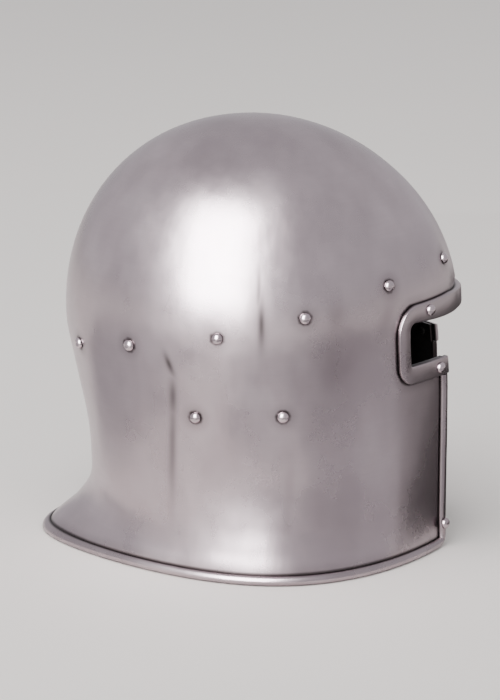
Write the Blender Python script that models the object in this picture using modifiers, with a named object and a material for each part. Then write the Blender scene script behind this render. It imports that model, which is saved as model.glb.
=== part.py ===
"""Barbute: a steel helmet raised in one piece, with an open T-shaped face.

Metres, +Z up. The helmet stands on its rim at z = 0 and its face looks towards -Y, so the
wearer's right side is -X. A place on its skin is a turn round the head, 0 at the face and
pi at the nape, positive on the wearer's right, together with a height above the rim.
"""
import math

import bmesh
import bpy
from mathutils import Matrix, Vector

# Bowl
HEIGHT = 0.2726
BROW_HEIGHT = 0.150
BROW_REACH = 0.130
CHEEK_REACH = 0.1375
SKULL_REACH = 0.1182
NAPE_REACH = 0.1037
TAIL_REACH = 0.1343
SKULL_HALF_WIDTH = 0.103
NECK_HALF_WIDTH = 0.0985
RIM_HALF_WIDTH = 0.1078
WIDEST_FORWARD = 0.0157
SHEET = 0.002

# How far a level section leaves an ellipse
BROW_POINT = -0.050
CHEEK_POINT = -0.095
TAIL_TAPER = 0.095

# How full the dome is at the front, back and sides
FRONT_FULLNESS = 1.97
BACK_FULLNESS = 2.105
SIDE_FULLNESS = 2.0

# Face opening, as lengths along the skin from the middle of the face and heights
SLIT_HALF = 0.0385
EYE_REAR = 0.075
EYE_TOP = 0.1543
EYE_FLOOR_REAR = 0.1265
EYE_FLOOR_FRONT = 0.126
BROW_DIP = 0.0033
BROW_DIP_REACH = 0.070

# Eye trim
TRIM_THICKNESS = 0.0026
BROW_BAR = 0.0110
EYE_POST = 0.0093
CHEEK_ARM = 0.0115
TRIM_BEVEL = 0.0009
TRIM_KEEL = 0.0017
TRIM_KEEL_REACH = 0.016
INNER_CORNER = 0.0045
OUTER_CORNER = 0.017
LOWER_CORNER = 0.011
BAR_DIP = 0.0018
BAR_DIP_REACH = 0.030

# Strips along the cheeks and the rim
STRIP_WIDTH = 0.0062
STRIP_PROUD = 0.0028
STRIP_LIP = 0.0017
CHEEK_CORNER = 0.0105

# Rivets
RIVET_HEAD_RADIUS = 0.0036
RIVET_HEAD_HEIGHT = 0.0027
RIVET_SHANK_RADIUS = 0.0012
RIVET_TAIL_RADIUS = 0.0024
RIVET_TAIL_HEIGHT = 0.0010
LINING_LINE_BACK = 0.136
LINING_LINE_FRONT = 0.1852
CHIN_STRAP_LINE_BACK = 0.104
CHIN_STRAP_LINE_FRONT = 0.106
BROW_RIVET_REACH = 0.0565
CHEEK_RIVET_SET_BACK = 0.0093
STRIP_RIVET_HEIGHT = 0.0152
STRIP_RIVET_DEPTH = 0.0036

# Clearances
GAP = 0.0003
TAIL_GAP = 0.0009

# Facets
HALF_COLUMNS = 24
WALL_ROWS = 14
WALL_ROW_CROWDING = 1.5
DOME_ROWS = 12
BAR_STEP = 0.0085
POST_STEP = 0.0042
CHEEK_STRIP_STEP = 0.017
CORNER_STEPS = 4
ROUND_STEPS = 6
RIVET_SIDES = 10
HEAD_STEPS = 3
HOLE_SIDES = 8
ARC_STEP = math.radians(1.5)
SLOPE_STEP = 1e-4
MERGE = 1e-5
SHARP_EDGE = math.radians(35)

# Reach of the cutters, in thicknesses of the sheet, and of the face cutter's two points, in
# shares of the brow's reach
PLUG_SHEETS = 4
DRILL_SHEETS = 12
PLUG_AHEAD = 2.0
PLUG_WITHIN = 0.25

# A row for each level of the wall. Height is a share of BROW_HEIGHT. Flare goes from the
# nape (0) to the tail (1), splay from the neck's half width to the rim's, swell from the
# neck to the skull, jut from the brow's reach to the cheeks' and keen from the brow's point
# to the sharper one of the cheeks.
WALL = (
    {"height": 0.000, "flare": 1.00, "splay": 1.00, "swell": 0.00, "jut": 0.65, "keen": 1.00},
    {"height": 0.053, "flare": 0.84, "splay": 0.86, "swell": 0.00, "jut": 0.66, "keen": 0.98},
    {"height": 0.133, "flare": 0.36, "splay": 0.56, "swell": 0.00, "jut": 0.77, "keen": 0.95},
    {"height": 0.233, "flare": 0.04, "splay": 0.24, "swell": 0.00, "jut": 0.91, "keen": 0.92},
    {"height": 0.367, "flare": 0.00, "splay": 0.00, "swell": 0.00, "jut": 0.99, "keen": 0.88},
    {"height": 0.533, "flare": 0.00, "splay": 0.00, "swell": 0.15, "jut": 0.99, "keen": 0.82},
    {"height": 0.767, "flare": 0.00, "splay": 0.00, "swell": 0.62, "jut": 0.77, "keen": 0.65},
    {"height": 1.000, "flare": 0.00, "splay": 0.00, "swell": 1.00, "jut": 0.00, "keen": 0.00},
)

# The rivets of one side. Turn is a share of half a turn, rise a share of the way from the
# line's height at the back to its height at the front.
LINING_RIVETS = (
    {"turn": 0.871, "rise": 0.00},
    {"turn": 0.717, "rise": 0.19},
    {"turn": 0.558, "rise": 0.40},
    {"turn": 0.421, "rise": 0.64},
    {"turn": 0.268, "rise": 0.90},
    {"turn": 0.081, "rise": 1.00},
)
CHIN_STRAP_RIVETS = (
    {"turn": 0.600, "rise": 0.00},
    {"turn": 0.459, "rise": 1.00},
)

STEELS = {
    "bowl_steel": {"color": (0.43, 0.41, 0.42, 1.0), "roughness": 0.30},
    "trim_steel": {"color": (0.45, 0.43, 0.44, 1.0), "roughness": 0.27},
    "strip_steel": {"color": (0.44, 0.42, 0.43, 1.0), "roughness": 0.28},
    "rivet_steel": {"color": (0.48, 0.46, 0.46, 1.0), "roughness": 0.24},
}


def wall_row(height):
    """The wall's columns at a height, on a smooth curve through the rows of WALL."""
    share = min(max(height / BROW_HEIGHT, 0.0), 1.0)
    last = len(WALL) - 1
    index = max(k for k in range(last) if WALL[k]["height"] <= share)
    low, high = WALL[index], WALL[index + 1]
    span = high["height"] - low["height"]
    along = (share - low["height"]) / span

    def slope(k, column):
        if k == last:
            return 0.0
        before, after = WALL[max(k - 1, 0)], WALL[k + 1]
        return (after[column] - before[column]) / (after["height"] - before["height"])

    row = {}
    for column in ("flare", "splay", "swell", "jut", "keen"):
        leave = slope(index, column) * span
        arrive = slope(index + 1, column) * span
        row[column] = (
            low[column] * (2 * along**3 - 3 * along**2 + 1)
            + leave * (along**3 - 2 * along**2 + along)
            + high[column] * (3 * along**2 - 2 * along**3)
            + arrive * (along**3 - along**2)
        )
    return row


def section(height):
    """Front, back, half width, widest place, front and back roundness of a level section."""
    row = wall_row(height)
    front = BROW_REACH + (CHEEK_REACH - BROW_REACH) * row["jut"]
    back = NAPE_REACH + (TAIL_REACH - NAPE_REACH) * row["flare"]
    back += (SKULL_REACH - NAPE_REACH) * row["swell"]
    width = NECK_HALF_WIDTH + (RIM_HALF_WIDTH - NECK_HALF_WIDTH) * row["splay"]
    width += (SKULL_HALF_WIDTH - NECK_HALF_WIDTH) * row["swell"]
    below = min(max(1.0 - height / BROW_HEIGHT, 0.0), 1.0)
    widest = -WIDEST_FORWARD * below**2
    front_round = BROW_POINT + (CHEEK_POINT - BROW_POINT) * row["keen"]
    back_round = -TAIL_TAPER * row["splay"]
    if height > BROW_HEIGHT:
        share = min((height - BROW_HEIGHT) / (HEIGHT - BROW_HEIGHT), 1.0)
        front *= (1.0 - share**FRONT_FULLNESS) ** (1.0 / FRONT_FULLNESS)
        back *= (1.0 - share**BACK_FULLNESS) ** (1.0 / BACK_FULLNESS)
        width *= (1.0 - share**SIDE_FULLNESS) ** (1.0 / SIDE_FULLNESS)
        front_round *= 1.0 - share
    return front, back, width, widest, front_round, back_round


def skin(turn, height):
    """A point of the bowl's outer skin."""
    front, back, width, widest, front_round, back_round = section(height)
    middle = (back - front) / 2
    reach = (back + front) / 2
    lean = (middle - widest) / 2
    y = middle - reach * math.cos(turn) + lean * (math.cos(2 * turn) - 1)
    facing = (1 + math.cos(turn)) / 2
    roundness = front_round * facing + back_round * (1 - facing)
    x = math.sin(turn) + roundness * math.sin(3 * turn)
    x *= width / (1 - (front_round + back_round) / 2)
    return Vector((-x, y, height))


def outward(turn, height):
    """The unit normal of the skin, pointing out."""
    across = skin(turn + SLOPE_STEP, height) - skin(turn - SLOPE_STEP, height)
    up = skin(turn, height + SLOPE_STEP) - skin(turn, height - SLOPE_STEP)
    return up.cross(across).normalized()


def lifted(turn, height, lift):
    """A point level with one of the skin, at a thickness of lift outside it."""
    normal = outward(turn, height)
    level = Vector((normal.x, normal.y, 0.0))
    steepness = level.length
    return skin(turn, height) + level.normalized() * (lift / steepness)


def turn_at(length, height):
    """The turn that lies a length along the skin from the middle of the face."""
    turn = 0.0
    here = skin(turn, height)
    walked = 0.0
    while walked < abs(length):
        turn += ARC_STEP
        there = skin(turn, height)
        stride = (there - here).length
        walked += stride
        here = there
    if walked > 0.0:
        turn -= ARC_STEP * (walked - abs(length)) / stride
    return math.copysign(turn, length) if length else 0.0


def spot(length, height):
    """A turn and a height, from a length along the skin and a height."""
    return turn_at(length, height), height


def between(start, end, share):
    """A value or a pair of values part of the way from start to end."""
    if isinstance(start, tuple):
        return tuple(between(a, b, share) for a, b in zip(start, end))
    return start + (end - start) * share


def steps(start, end, count):
    """Evenly spaced values from start to end, both included."""
    return [between(start, end, k / count) for k in range(count + 1)]


def brow_line(length, height, dip=BROW_DIP, reach=BROW_DIP_REACH):
    """A height on the brow, which dips towards the middle of the face."""
    return height - dip * max(1.0 - (length / reach) ** 2, 0.0)


def eye_edge(set_back=0.0):
    """The eye opening's edge on one side, from the middle of the brow to the cheek."""
    top = EYE_TOP + set_back
    rear = EYE_REAR + set_back
    radius = INNER_CORNER + set_back
    count = math.ceil((rear - radius) / BAR_STEP)
    edge = [(length, brow_line(length, top)) for length in steps(0.0, rear - radius, count)]
    for angle in steps(0.0, math.pi / 2, CORNER_STEPS)[1:]:
        place = rear - radius + radius * math.sin(angle)
        edge.append((place, top - radius + radius * math.cos(angle)))
    edge.append((rear, (EYE_TOP + EYE_FLOOR_REAR) / 2))
    return edge


def cheek_floor(set_back=0.0):
    """The eye opening's lower edge on one side, from its rear corner to the slit."""
    rear = (EYE_REAR + set_back, EYE_FLOOR_REAR - set_back)
    front = (SLIT_HALF + set_back, EYE_FLOOR_FRONT - set_back)
    count = math.ceil((rear[0] - front[0]) / BAR_STEP)
    return [between(rear, front, k / count) for k in range(count + 1)]


def trim_stations():
    """Pairs of places on the eye trim's inner and outer edges, and the keel's height."""
    outer_rear = EYE_REAR + EYE_POST
    outer_top = EYE_TOP + BROW_BAR
    outer_low = EYE_FLOOR_REAR - CHEEK_ARM
    pairs = []
    straight = min(EYE_REAR - INNER_CORNER, outer_rear - OUTER_CORNER)
    for length in steps(0.0, straight, math.ceil(straight / BAR_STEP)):
        keel = TRIM_KEEL * max(1.0 - length / TRIM_KEEL_REACH, 0.0)
        inner = (length, brow_line(length, EYE_TOP))
        outer = (length, brow_line(length, outer_top, BAR_DIP, BAR_DIP_REACH))
        pairs.append((inner, outer, keel))
    for angle in steps(0.0, math.pi / 2, CORNER_STEPS)[1:]:
        sine, cosine = math.sin(angle), math.cos(angle)
        inner = (EYE_REAR - INNER_CORNER * (1 - sine), EYE_TOP - INNER_CORNER * (1 - cosine))
        outer = (outer_rear - OUTER_CORNER * (1 - sine), outer_top - OUTER_CORNER * (1 - cosine))
        pairs.append((inner, outer, 0.0))
    upper = (pairs[-1][0][1], pairs[-1][1][1])
    lower = (EYE_FLOOR_REAR + TRIM_BEVEL, outer_low + LOWER_CORNER)
    count = math.ceil((upper[1] - lower[1]) / POST_STEP)
    for inner_height, outer_height in steps(upper, lower, count)[1:-1]:
        pairs.append(((EYE_REAR, inner_height), (outer_rear, outer_height), 0.0))
    for angle in steps(0.0, math.pi / 2, CORNER_STEPS):
        sine, cosine = math.sin(angle), math.cos(angle)
        inner = (EYE_REAR - TRIM_BEVEL * (1 - cosine), EYE_FLOOR_REAR + TRIM_BEVEL * (1 - sine))
        outer = (outer_rear - LOWER_CORNER * (1 - cosine), outer_low + LOWER_CORNER * (1 - sine))
        pairs.append((inner, outer, 0.0))
    start = (EYE_REAR - TRIM_BEVEL, outer_rear - LOWER_CORNER)
    arm = start[0] - SLIT_HALF
    count = math.ceil(arm / BAR_STEP)
    for share in steps(0.0, 1.0, count)[1:]:
        height = between(EYE_FLOOR_REAR, EYE_FLOOR_FRONT, share)
        inner = (between(start[0], SLIT_HALF, share), height)
        outer = (between(start[1], SLIT_HALF, share), height - CHEEK_ARM)
        pairs.append((inner, outer, 0.0))
    return [(spot(*inner), spot(*outer), keel) for inner, outer, keel in pairs]


def trim_profile(keel):
    """The trim's section: shares of the way across, from the inner edge, and lifts."""
    bevel = TRIM_BEVEL / BROW_BAR
    shoulder = GAP + TRIM_THICKNESS - TRIM_BEVEL
    top = GAP + TRIM_THICKNESS + keel
    return [
        (0.0, GAP),
        (0.0, shoulder + keel),
        (bevel, top),
        (0.5, top),
        (1.0 - bevel, top),
        (1.0, shoulder + keel),
        (1.0, GAP),
        (0.5, GAP),
    ]


def strip_profile(keel):
    """A half-round strip with a lip under the sheet's edge, across from that edge."""
    points = []
    for angle in steps(0.0, math.pi, ROUND_STEPS):
        lift = GAP + (STRIP_PROUD + keel) * math.sin(angle)
        points.append(((1 + math.cos(angle)) / 2, lift))
    lip = STRIP_LIP / STRIP_WIDTH
    points += [(0.0, -SHEET), (lip, -SHEET), (lip, GAP)]
    return points


def cheek_strip_pairs(side):
    """Places on a cheek strip's edge line and crease line, from its top to the mitre."""
    top = EYE_FLOOR_FRONT - CHEEK_ARM - GAP
    straight = top - CHEEK_CORNER
    pairs = []
    for share in steps(0.0, 1.0, math.ceil(straight / CHEEK_STRIP_STEP)):
        height = top - straight * share
        pairs.append(((SLIT_HALF, height), (SLIT_HALF + STRIP_WIDTH, height)))
    for share in steps(0.0, 1.0, CORNER_STEPS - 1)[1:]:
        angle = share * math.pi / 4
        edge = corner_place(angle)
        crease = (SLIT_HALF + STRIP_WIDTH, between(CHEEK_CORNER, STRIP_WIDTH, share))
        pairs.append((edge, crease))
    return [(spot(side * a[0], a[1]), spot(side * b[0], b[1]), 0.0) for a, b in pairs]


def corner_place(angle):
    """A place on the cheek's rounded lower corner, 0 at the slit and pi / 2 at the rim."""
    length = SLIT_HALF + CHEEK_CORNER * (1 - math.cos(angle))
    return length, CHEEK_CORNER * (1 - math.sin(angle))


def rim_strip_pairs():
    """Places on the rim strip's edge line and crease line, from the mitre to the nape."""
    pairs = []
    first = math.pi / 4 + GAP / CHEEK_CORNER
    for share in steps(0.0, 1.0, CORNER_STEPS - 1):
        angle = between(first, math.pi / 2, share)
        crease = between(STRIP_WIDTH + GAP, CHEEK_CORNER, share)
        edge = corner_place(angle)
        pairs.append((spot(*edge), spot(SLIT_HALF + crease, STRIP_WIDTH), 0.0))
    last_turn = pairs[-1][1][0]
    for column in range(HALF_COLUMNS + 1):
        turn = math.pi * column / HALF_COLUMNS
        if turn > last_turn + MERGE:
            pairs.append(((turn, 0.0), (turn, STRIP_WIDTH), 0.0))
    return pairs


def opening_outline():
    """Places on the edge cut in the bowl on one side, from the brow down and back under."""
    under = STRIP_LIP + GAP
    outline = [spot(*place) for place in eye_edge(GAP)]
    floor = [place for place in cheek_floor(GAP) if place[0] > SLIT_HALF + under]
    outline += [spot(*place) for place in floor]
    outline.append(spot(SLIT_HALF + under, EYE_FLOOR_FRONT - GAP))
    share = under / STRIP_WIDTH
    cheek = cheek_strip_pairs(1)
    rim = rim_strip_pairs()[:CORNER_STEPS]
    outline += [between(edge, crease, share) for edge, crease, keel in cheek[1:] + rim]
    turn = outline[-1][0]
    outline += [(turn * share, -under) for share in steps(1.0, 0.0, CORNER_STEPS)]
    return outline


def carrier():
    """The empty that carries every piece and puts the origin under the helmet's middle."""
    if "helmet_frame" not in bpy.data.objects:
        tail = lifted(math.pi, STRIP_WIDTH / 2, GAP + STRIP_PROUD).y
        ridge = GAP + TRIM_THICKNESS + TRIM_KEEL
        brow = lifted(0.0, EYE_TOP - BROW_DIP, ridge).y
        empty = bpy.data.objects.new("helmet_frame", None)
        empty.location.y = -(tail + brow) / 2
        bpy.context.scene.collection.objects.link(empty)
    return bpy.data.objects["helmet_frame"]


def new_object(name, mesh, collection, steel=None):
    """An object in a collection, smooth but for its sharp edges, or a cutter."""
    item = bpy.data.objects.new(name, mesh)
    item.parent = carrier()
    collection.objects.link(item)
    if steel is None:
        item.hide_render = True
        item.display_type = "WIRE"
    else:
        mesh.materials.append(bpy.data.materials[steel])
    return item


def finished_mesh(name, bm):
    """A mesh from a bmesh, with its faces pointing out."""
    bmesh.ops.recalc_face_normals(bm, faces=bm.faces[:])
    mesh = bpy.data.meshes.new(name)
    bm.to_mesh(mesh)
    bm.free()
    mesh.shade_smooth()
    mesh.set_sharp_from_angle(angle=SHARP_EDGE)
    return mesh


def moulding(name, stations, profile, capped_ends):
    """A mesh that carries a profile over the skin from station to station."""
    bm = bmesh.new()
    rings = []
    for first, second, keel in stations:
        ring = []
        for across, lift in profile(keel):
            turn, height = between(first, second, across)
            ring.append(bm.verts.new(lifted(turn, height, lift)))
        rings.append(ring)
    for ring, following in zip(rings, rings[1:]):
        for k, vertex in enumerate(ring):
            n = (k + 1) % len(ring)
            bm.faces.new((vertex, ring[n], following[n], following[k]))
    if capped_ends[0]:
        bm.faces.new(rings[0])
    if capped_ends[1]:
        bm.faces.new(rings[-1])
    return finished_mesh(name, bm)


def mirror(item):
    """The other half of a piece that is open at the middle plane."""
    modifier = item.modifiers.new("Mirror", "MIRROR")
    modifier.use_axis = (True, False, False)
    modifier.merge_threshold = MERGE
    modifier.use_clip = True


def cut(item, cutter):
    """What a cutter takes out of a piece."""
    modifier = item.modifiers.new("Cut " + cutter.name, "BOOLEAN")
    modifier.operation = "DIFFERENCE"
    modifier.solver = "EXACT"
    modifier.object = cutter


def bowl_levels():
    """The heights of the bowl's rings, closer together where the rim flares."""
    shares = steps(0.0, 1.0, WALL_ROWS)
    levels = [BROW_HEIGHT * share**WALL_ROW_CROWDING for share in shares]
    rise = HEIGHT - BROW_HEIGHT
    for share in steps(0.0, 1.0, DOME_ROWS)[1:-1]:
        levels.append(BROW_HEIGHT + rise * math.sin(share * math.pi / 2))
    return levels


def make_bowl(collection, cutters):
    """The raised bowl: half of its skin, mirrored, given its thickness and cut."""
    bm = bmesh.new()
    rings = []
    for height in bowl_levels():
        turns = steps(0.0, math.pi, HALF_COLUMNS)
        ring = [bm.verts.new(skin(turn, height)) for turn in turns]
        ring[0].co.x = ring[-1].co.x = 0.0
        rings.append(ring)
    for lower, upper in zip(rings, rings[1:]):
        for k in range(HALF_COLUMNS):
            bm.faces.new((lower[k], upper[k], upper[k + 1], lower[k + 1]))
    crown = bm.verts.new((0.0, 0.0, HEIGHT))
    for k in range(HALF_COLUMNS):
        bm.faces.new((rings[-1][k], crown, rings[-1][k + 1]))
    mesh = finished_mesh("helmet_bowl", bm)
    item = new_object("helmet_bowl", mesh, collection, "bowl_steel")
    mirror(item)
    wall = item.modifiers.new("Sheet", "SOLIDIFY")
    wall.thickness = SHEET
    wall.offset = -1.0
    wall.use_even_offset = True
    for cutter in cutters:
        cut(item, cutter)


def make_face_cutter(collection):
    """A plug through the face opening, square to the skin all along the edge."""
    right = opening_outline()
    left = [(-turn, height) for turn, height in reversed(right[1:-1])]
    outline = right + left
    depth = PLUG_SHEETS * SHEET
    middle = (EYE_TOP + EYE_FLOOR_REAR) / 2
    bm = bmesh.new()
    outer = [bm.verts.new(lifted(turn, height, depth)) for turn, height in outline]
    inner = [bm.verts.new(lifted(turn, height, -depth)) for turn, height in outline]
    ahead = bm.verts.new((0.0, -PLUG_AHEAD * BROW_REACH, middle))
    within = bm.verts.new((0.0, -PLUG_WITHIN * BROW_REACH, middle))
    for k in range(len(outline)):
        n = (k + 1) % len(outline)
        bm.faces.new((outer[k], outer[n], inner[n], inner[k]))
        bm.faces.new((ahead, outer[n], outer[k]))
        bm.faces.new((within, inner[k], inner[n]))
    return new_object("face_cutter", finished_mesh("face_cutter", bm), collection)


def make_rim_cutter(collection):
    """A block that trims the bowl level, just above the rim strip's lip."""
    under = STRIP_LIP + GAP
    size = 4 * max(TAIL_REACH, RIM_HALF_WIDTH)
    bm = bmesh.new()
    bmesh.ops.create_cube(bm, size=size)
    bmesh.ops.translate(bm, verts=bm.verts[:], vec=(0.0, 0.0, under - size / 2))
    return new_object("rim_cutter", finished_mesh("rim_cutter", bm), collection)


def rivet_places():
    """Name, kind, turn, height and the lift of what each rivet's head lies on."""
    places = []
    lining = (LINING_LINE_BACK, LINING_LINE_FRONT)
    chin_strap = (CHIN_STRAP_LINE_BACK, CHIN_STRAP_LINE_FRONT)
    trim_top = GAP + TRIM_THICKNESS
    brow_height = EYE_TOP + BROW_BAR / 2
    cheek_length = SLIT_HALF + CHEEK_RIVET_SET_BACK
    cheek_height = EYE_FLOOR_FRONT - CHEEK_ARM / 2
    strip_length = SLIT_HALF + STRIP_RIVET_DEPTH
    for side, word in ((1, "right"), (-1, "left")):
        for k, row in enumerate(LINING_RIVETS, start=1):
            name = f"lining_rivet_{word}_{k}"
            height = between(*lining, row["rise"])
            places.append((name, side * math.pi * row["turn"], height, 0.0))
        for k, row in enumerate(CHIN_STRAP_RIVETS, start=1):
            name = f"chin_strap_rivet_{word}_{k}"
            height = between(*chin_strap, row["rise"])
            places.append((name, side * math.pi * row["turn"], height, 0.0))
        brow = turn_at(side * BROW_RIVET_REACH, brow_height)
        places.append((f"brow_rivet_{word}", brow, brow_height, trim_top))
        cheek = turn_at(side * cheek_length, cheek_height)
        places.append((f"cheek_rivet_{word}", cheek, cheek_height, trim_top))
        strip = turn_at(side * strip_length, STRIP_RIVET_HEIGHT)
        places.append((f"strip_rivet_{word}", strip, STRIP_RIVET_HEIGHT, GAP + STRIP_PROUD))
    return places


def rivet_frame(turn, height):
    """A rivet's place on the skin, its own +Z pointing out."""
    turned = outward(turn, height).to_track_quat("Z", "Y").to_matrix().to_4x4()
    return Matrix.Translation(skin(turn, height)) @ turned


def rivet_outline(seat):
    """Half of a rivet's section, from the top of its head down to its peened end."""
    base = seat + GAP
    outline = []
    for angle in steps(math.pi / 2, 0.0, HEAD_STEPS):
        radius = RIVET_HEAD_RADIUS * math.cos(angle)
        outline.append((radius, base + RIVET_HEAD_HEIGHT * math.sin(angle)))
    outline[0] = (0.0, outline[0][1])
    inside = -SHEET - TAIL_GAP
    outline.append((RIVET_SHANK_RADIUS, base))
    outline.append((RIVET_SHANK_RADIUS, inside))
    outline.append((RIVET_TAIL_RADIUS, inside))
    outline.append((RIVET_TAIL_RADIUS * math.cos(math.pi / 4), inside - RIVET_TAIL_HEIGHT))
    outline.append((0.0, inside - RIVET_TAIL_HEIGHT))
    return outline


def rivet_mesh(seat):
    """The profile that a rivet is turned from."""
    mesh = bpy.data.meshes.new("rivet_profile")
    points = [(radius, 0.0, height) for radius, height in rivet_outline(seat)]
    edges = [(k, k + 1) for k in range(len(points) - 1)]
    mesh.from_pydata(points, edges, [])
    mesh.materials.append(bpy.data.materials["rivet_steel"])
    return mesh


def make_rivets(collection):
    """Every rivet, each an object of its own on one of three turned profiles."""
    meshes = {}
    for name, turn, height, seat in rivet_places():
        if seat not in meshes:
            meshes[seat] = rivet_mesh(seat)
        item = bpy.data.objects.new(name, meshes[seat])
        item.parent = carrier()
        item.matrix_basis = rivet_frame(turn, height)
        collection.objects.link(item)
        screw = item.modifiers.new("Turned", "SCREW")
        screw.axis = "Z"
        screw.steps = screw.render_steps = RIVET_SIDES
        screw.use_merge_vertices = True
        screw.merge_threshold = MERGE
        screw.use_smooth_shade = True


def make_hole_cutter(collection):
    """Drills for all the rivet holes, in one cutter."""
    bm = bmesh.new()
    length = DRILL_SHEETS * SHEET
    for name, turn, height, seat in rivet_places():
        bmesh.ops.create_cone(
            bm,
            cap_ends=True,
            segments=HOLE_SIDES,
            radius1=RIVET_SHANK_RADIUS + GAP,
            radius2=RIVET_SHANK_RADIUS + GAP,
            depth=length,
            matrix=rivet_frame(turn, height),
        )
    return new_object("hole_cutter", finished_mesh("hole_cutter", bm), collection)


def make_trim(collection, holes):
    """The riveted band round the eyes and across the brow."""
    mesh = moulding("eye_trim", trim_stations(), trim_profile, (False, True))
    item = new_object("eye_trim", mesh, collection, "trim_steel")
    mirror(item)
    cut(item, holes)


def make_cheek_strip(collection, holes, side, word):
    """The half-round strip down the front edge of one cheek."""
    name = f"cheek_strip_{word}"
    mesh = moulding(name, cheek_strip_pairs(side), strip_profile, (True, True))
    item = new_object(name, mesh, collection, "strip_steel")
    cut(item, holes)


def make_rim_strip(collection):
    """The half-round strip along the rim, from cheek to cheek round the nape."""
    mesh = moulding("rim_strip", rim_strip_pairs(), strip_profile, (True, False))
    item = new_object("rim_strip", mesh, collection, "strip_steel")
    mirror(item)


def make_steels():
    """The four finishes of steel."""
    for name, look in STEELS.items():
        material = bpy.data.materials.new(name)
        material.use_nodes = True
        shader = material.node_tree.nodes["Principled BSDF"]
        shader.inputs["Base Color"].default_value = look["color"]
        shader.inputs["Roughness"].default_value = look["roughness"]
        shader.inputs["Metallic"].default_value = 1.0
        material.diffuse_color = look["color"]


def new_collection(name):
    """A collection in the scene."""
    collection = bpy.data.collections.new(name)
    bpy.context.scene.collection.children.link(collection)
    return collection


def main():
    """Clear the scene and build the helmet."""
    for item in list(bpy.data.objects):
        bpy.data.objects.remove(item, do_unlink=True)
    make_steels()
    helmet = new_collection("barbute")
    cutters = new_collection("cutters")
    holes = make_hole_cutter(cutters)
    make_bowl(helmet, (make_face_cutter(cutters), make_rim_cutter(cutters), holes))
    make_trim(helmet, holes)
    make_cheek_strip(helmet, holes, 1, "right")
    make_cheek_strip(helmet, holes, -1, "left")
    make_rim_strip(helmet)
    make_rivets(helmet)


main()
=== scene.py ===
import math

import bmesh
import bpy
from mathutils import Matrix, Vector
from mathutils.kdtree import KDTree


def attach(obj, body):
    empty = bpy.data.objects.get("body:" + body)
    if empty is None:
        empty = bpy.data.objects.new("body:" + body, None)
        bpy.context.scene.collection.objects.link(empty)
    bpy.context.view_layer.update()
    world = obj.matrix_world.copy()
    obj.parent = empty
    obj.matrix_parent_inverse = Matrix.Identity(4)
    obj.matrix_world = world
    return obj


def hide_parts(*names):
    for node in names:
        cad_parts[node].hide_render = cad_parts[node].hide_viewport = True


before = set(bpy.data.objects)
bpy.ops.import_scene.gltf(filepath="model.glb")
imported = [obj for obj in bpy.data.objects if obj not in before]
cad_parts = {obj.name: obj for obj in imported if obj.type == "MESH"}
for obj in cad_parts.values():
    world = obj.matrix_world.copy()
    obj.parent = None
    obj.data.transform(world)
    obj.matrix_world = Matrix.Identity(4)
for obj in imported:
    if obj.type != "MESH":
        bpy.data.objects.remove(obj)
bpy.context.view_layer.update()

bl_info = {
    "name": "Barbute",
    "version": (1, 0, 0),
    "blender": (4, 5, 0),
    "location": "View3D > Sidebar > Barbute",
    "description": "Finishes a steel barbute: its bowl, eye trim, edge strips and rivets",
    "category": "Object",
}

# Bowl, in metres
HEIGHT = 0.2726
BROW_HEIGHT = 0.150
BROW_REACH = 0.130
CHEEK_REACH = 0.1375
SKULL_REACH = 0.1182
NAPE_REACH = 0.1037
TAIL_REACH = 0.1343
SKULL_HALF_WIDTH = 0.103
NECK_HALF_WIDTH = 0.0985
RIM_HALF_WIDTH = 0.1078
WIDEST_FORWARD = 0.0157
BROW_POINT = -0.050
CHEEK_POINT = -0.095
TAIL_TAPER = 0.095
FRONT_FULLNESS = 1.97
BACK_FULLNESS = 2.105
SIDE_FULLNESS = 2.0

# Face opening, as lengths along the skin from the middle of the face and heights
SLIT_HALF = 0.0385
EYE_REAR = 0.075
EYE_TOP = 0.1543
EYE_FLOOR_REAR = 0.1265
EYE_FLOOR_FRONT = 0.126
BROW_DIP = 0.0033
BROW_DIP_REACH = 0.070
BAR_DIP = 0.0018
BAR_DIP_REACH = 0.030
BROW_BAR = 0.0110
EYE_POST = 0.0093
CHEEK_ARM = 0.0115
TRIM_KEEL = 0.0017
TRIM_KEEL_REACH = 0.016
INNER_CORNER = 0.0045
OUTER_CORNER = 0.017
LOWER_CORNER = 0.011
CHEEK_CORNER = 0.0105
STRIP_LIP = 0.0017

# Rivets
HEAD_HEIGHT = 0.0027
TAIL_RADIUS = 0.0024
TAIL_HEIGHT = 0.0010
LINING_LINE_BACK = 0.136
LINING_LINE_FRONT = 0.1852
CHIN_STRAP_LINE_BACK = 0.104
CHIN_STRAP_LINE_FRONT = 0.106
BROW_RIVET_REACH = 0.0565
CHEEK_RIVET_SET_BACK = 0.0093
STRIP_RIVET_HEIGHT = 0.0152
STRIP_RIVET_DEPTH = 0.0036

# Clearances
GAP = 0.0003
TAIL_GAP = 0.0009

# Fineness of the meshes
COLUMNS = 264
WALL_ROWS = 64
WALL_ROW_CROWDING = 1.3
DOME_ROWS = 52
BAR_STEP = 0.0016
CORNER_STEPS = 12
ROUND_STEPS = 12
EDGE_STEPS = 4
ARC_STEP = math.radians(0.5)
SLOPE_STEP = 1e-4
MERGE = 1e-5
SHARP_EDGE = math.radians(32)
PLUG_DEPTH = 0.008
HEAD_RINGS = 10
TAIL_RINGS = 5
NEAREST_EDGES = 4

# Low ridge up the middle of the dome's front
RIDGE = 0.0016
RIDGE_REACH = 0.011
RIDGE_FOOT = 0.1634
RIDGE_RISE = 0.004
RIDGE_TOP = 0.245
RIDGE_FADE = 0.7

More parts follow.
